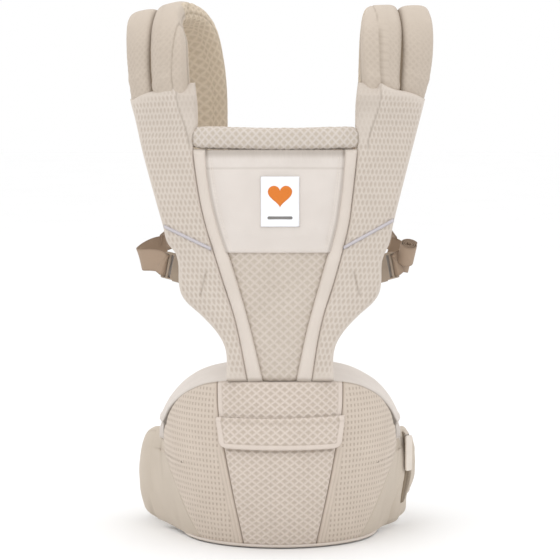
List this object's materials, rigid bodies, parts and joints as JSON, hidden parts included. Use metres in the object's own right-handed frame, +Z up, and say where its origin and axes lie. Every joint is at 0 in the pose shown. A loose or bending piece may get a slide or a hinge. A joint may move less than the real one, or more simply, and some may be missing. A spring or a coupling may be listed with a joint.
{
  "type": "soft baby carrier",
  "caption": "Soft structured baby carrier with a padded mesh panel, arched shoulder straps, a domed hip seat with a front flap and a padded waist belt, shown standing empty.",
  "frame": {"origin": "centre of the bounding box in plan, at the level of the floor under the seat", "axes": "+Z up, -Y the front of the carrier that faces away from the wearer, +X towards the side with the zipped belt pocket"},
  "size_m": [0.3475, 0.3618, 0.62],
  "materials": {
    "foam": "light moulded bead foam",
    "board": "matte sheet",
    "cream_knit": "smooth soft knit, cream",
    "mesh_knit": "honeycomb spacer mesh, beige",
    "fine_mesh": "fine spacer mesh in rows, beige",
    "belt_fabric": "smooth soft fabric, beige",
    "strap_knit": "smooth knit over foam, beige",
    "webbing": "woven webbing, taupe",
    "taupe_plastic": "satin moulded plastic, taupe",
    "tape": "hook and loop tape or zip tape",
    "zip_metal": "satin",
    "pull_cream": "soft moulded tab, cream",
    "label_white": "woven label, white",
    "reflective": "reflective transfer, grey"
  },
  "bodies": {
    "seat": {"seat_core": "foam", "seat_back_board": "board", "seat_top_cover": "cream_knit", "seat_front_panel": "mesh_knit", "seat_sides": "fine_mesh", "seat_gussets": "belt_fabric", "seat_base": "belt_fabric", "seat_piping": "cream_knit", "seat_loop_tape": "tape", "belt_middle": "belt_fabric", "waist_pad": "mesh_knit"},
    "flap": {"seat_flap": "belt_fabric", "flap_hook_tape": "tape"},
    "belt_left": {"belt_wing_left": "belt_fabric", "belt_webbing_left": "webbing", "waist_buckle_male": "taupe_plastic"},
    "belt_right": {"belt_wing_right": "belt_fabric", "belt_webbing_right": "webbing", "waist_buckle_female": "taupe_plastic", "belt_pocket": "belt_fabric", "pocket_zip": "tape"},
    "waist_prong_high": {"waist_prong_high": "taupe_plastic"},
    "waist_prong_low": {"waist_prong_low": "taupe_plastic"},
    "zip_slider": {"zip_slider": "zip_metal"},
    "zip_pull": {"zip_pull": "pull_cream"},
    "panel": {"panel_mesh": "mesh_knit", "panel_lining": "mesh_knit", "hood_pouch": "cream_knit", "stowed_hood": "cream_knit", "label": "label_white", "panel_trims": "cream_knit", "panel_wing_left": "mesh_knit", "panel_wing_right": "mesh_knit", "reflective_stripes": "reflective", "head_roll": "mesh_knit", "strap_left_outer_lobe": "strap_knit", "strap_left_inner_lobe": "strap_knit", "strap_left_tail": "strap_knit", "strap_right_outer_lobe": "strap_knit", "strap_right_inner_lobe": "strap_knit", "strap_right_tail": "strap_knit", "side_buckle_females": "taupe_plastic", "buckle_anchors": "webbing", "strap_webbing": "webbing"},
    "buckle_left": {"side_buckle_left_male": "taupe_plastic", "webbing_loop_left": "webbing"},
    "buckle_left_prong_high": {"side_buckle_left_prong_high": "taupe_plastic"},
    "buckle_left_prong_low": {"side_buckle_left_prong_low": "taupe_plastic"},
    "buckle_right": {"side_buckle_right_male": "taupe_plastic", "webbing_loop_right": "webbing"},
    "buckle_right_prong_high": {"side_buckle_right_prong_high": "taupe_plastic"},
    "buckle_right_prong_low": {"side_buckle_right_prong_low": "taupe_plastic"},
    "chest_strap": {"chest_sliders": "taupe_plastic", "chest_webbing_left": "webbing", "chest_webbing_right": "webbing", "chest_buckle_female": "taupe_plastic"},
    "chest_male": {"chest_buckle_male": "taupe_plastic"},
    "chest_prong_high": {"chest_buckle_prong_high": "taupe_plastic"},
    "chest_prong_low": {"chest_buckle_prong_low": "taupe_plastic"}
  },
  "joints": [
    {"name": "panel_fold", "type": "hinge", "parent": "seat", "child": "panel", "pos_m": [0, -0.173, 0.1955], "axis": [1, 0, 0], "range_deg": [-20, 90]},
    {"name": "flap_lift", "type": "hinge", "parent": "seat", "child": "flap", "pos_m": [0, -0.1767, 0.1575], "axis": [-1, 0, 0], "range_deg": [0, 95]},
    {"name": "belt_left_swing", "type": "hinge", "parent": "seat", "child": "belt_left", "pos_m": [-0.1249, -0.006, 0.06], "axis": [0, 0, 1], "range_deg": [0, 60]},
    {"name": "belt_right_swing", "type": "hinge", "parent": "seat", "child": "belt_right", "pos_m": [0.1249, -0.006, 0.06], "axis": [0, 0, -1], "range_deg": [0, 60]},
    {"name": "waist_buckle_prong_high", "type": "hinge", "parent": "belt_left", "child": "waist_prong_high", "pos_m": [-0.0345, 0.17544, 0.0757], "axis": [0, 1, 0], "range_deg": [0, 8], "stiffness_Nm_per_rad": 0.3},
    {"name": "waist_buckle_prong_low", "type": "hinge", "parent": "belt_left", "child": "waist_prong_low", "pos_m": [-0.0345, 0.17544, 0.0483], "axis": [0, -1, 0], "range_deg": [0, 8], "stiffness_Nm_per_rad": 0.3},
    {"name": "zip_run", "type": "slide", "parent": "belt_right", "child": "zip_slider", "axis": [0, 0, -1], "range_m": [0, 0.068]},
    {"name": "zip_pull_swing", "type": "hinge", "parent": "zip_slider", "child": "zip_pull", "pos_m": [0.15269, 0.01378, 0.1085], "axis": [-0.5894, -0.8078, 0], "range_deg": [0, 130]},
    {"name": "buckle_left_release", "type": "slide", "parent": "panel", "child": "buckle_left", "axis": [-0.919, 0.335, 0.208], "range_m": [0, 0.022], "deforming": ["side_buckle_left_prong_low", "side_buckle_left_prong_high"]},
    {"name": "buckle_left_prong_low", "type": "hinge", "parent": "buckle_left", "child": "buckle_left_prong_low", "pos_m": [-0.11822, -0.10415, 0.30759], "axis": [-0.3425, -0.9395, 0], "range_deg": [0, 11.5], "stiffness_Nm_per_rad": 0.3},
    {"name": "buckle_left_prong_high", "type": "hinge", "parent": "buckle_left", "child": "buckle_left_prong_high", "pos_m": [-0.11462, -0.10546, 0.32559], "axis": [0.3425, 0.9395, 0], "range_deg": [0, 11.5], "stiffness_Nm_per_rad": 0.3},
    {"name": "buckle_right_release", "type": "slide", "parent": "panel", "child": "buckle_right", "axis": [0.919, 0.335, 0.208], "range_m": [0, 0.022], "deforming": ["side_buckle_right_prong_low", "side_buckle_right_prong_high"]},
    {"name": "buckle_right_prong_low", "type": "hinge", "parent": "buckle_right", "child": "buckle_right_prong_low", "pos_m": [0.11822, -0.10415, 0.30759], "axis": [-0.3425, 0.9395, 0], "range_deg": [0, 11.5], "stiffness_Nm_per_rad": 0.3},
    {"name": "buckle_right_prong_high", "type": "hinge", "parent": "buckle_right", "child": "buckle_right_prong_high", "pos_m": [0.11462, -0.10546, 0.32559], "axis": [0.3425, -0.9395, 0], "range_deg": [0, 11.5], "stiffness_Nm_per_rad": 0.3},
    {"name": "chest_slide", "type": "slide", "parent": "panel", "child": "chest_strap", "axis": [0, 0, 1], "range_m": [-0.02, 0.02]},
    {"name": "chest_buckle_release", "type": "slide", "parent": "chest_strap", "child": "chest_male", "axis": [1, 0, 0], "range_m": [0, 0.018], "deforming": ["chest_buckle_prong_low", "chest_buckle_prong_high", "chest_webbing_right"]},
    {"name": "chest_buckle_prong_low", "type": "hinge", "parent": "chest_male", "child": "chest_prong_low", "pos_m": [0.0125, 0.0395, 0.4473], "axis": [0, 1, 0], "range_deg": [0, 13], "stiffness_Nm_per_rad": 0.2},
    {"name": "chest_buckle_prong_high", "type": "hinge", "parent": "chest_male", "child": "chest_prong_high", "pos_m": [0.0125, 0.0395, 0.4627], "axis": [0, -1, 0], "range_deg": [0, 13], "stiffness_Nm_per_rad": 0.2}
  ],
  "couplings": [
    {"joint": "waist_buckle_prong_low", "follows": "waist_buckle_prong_high", "ratio": 1},
    {"joint": "buckle_left_prong_high", "follows": "buckle_left_prong_low", "ratio": 1},
    {"joint": "buckle_right_prong_high", "follows": "buckle_right_prong_low", "ratio": 1},
    {"joint": "chest_buckle_prong_high", "follows": "chest_buckle_prong_low", "ratio": 1}
  ]
}
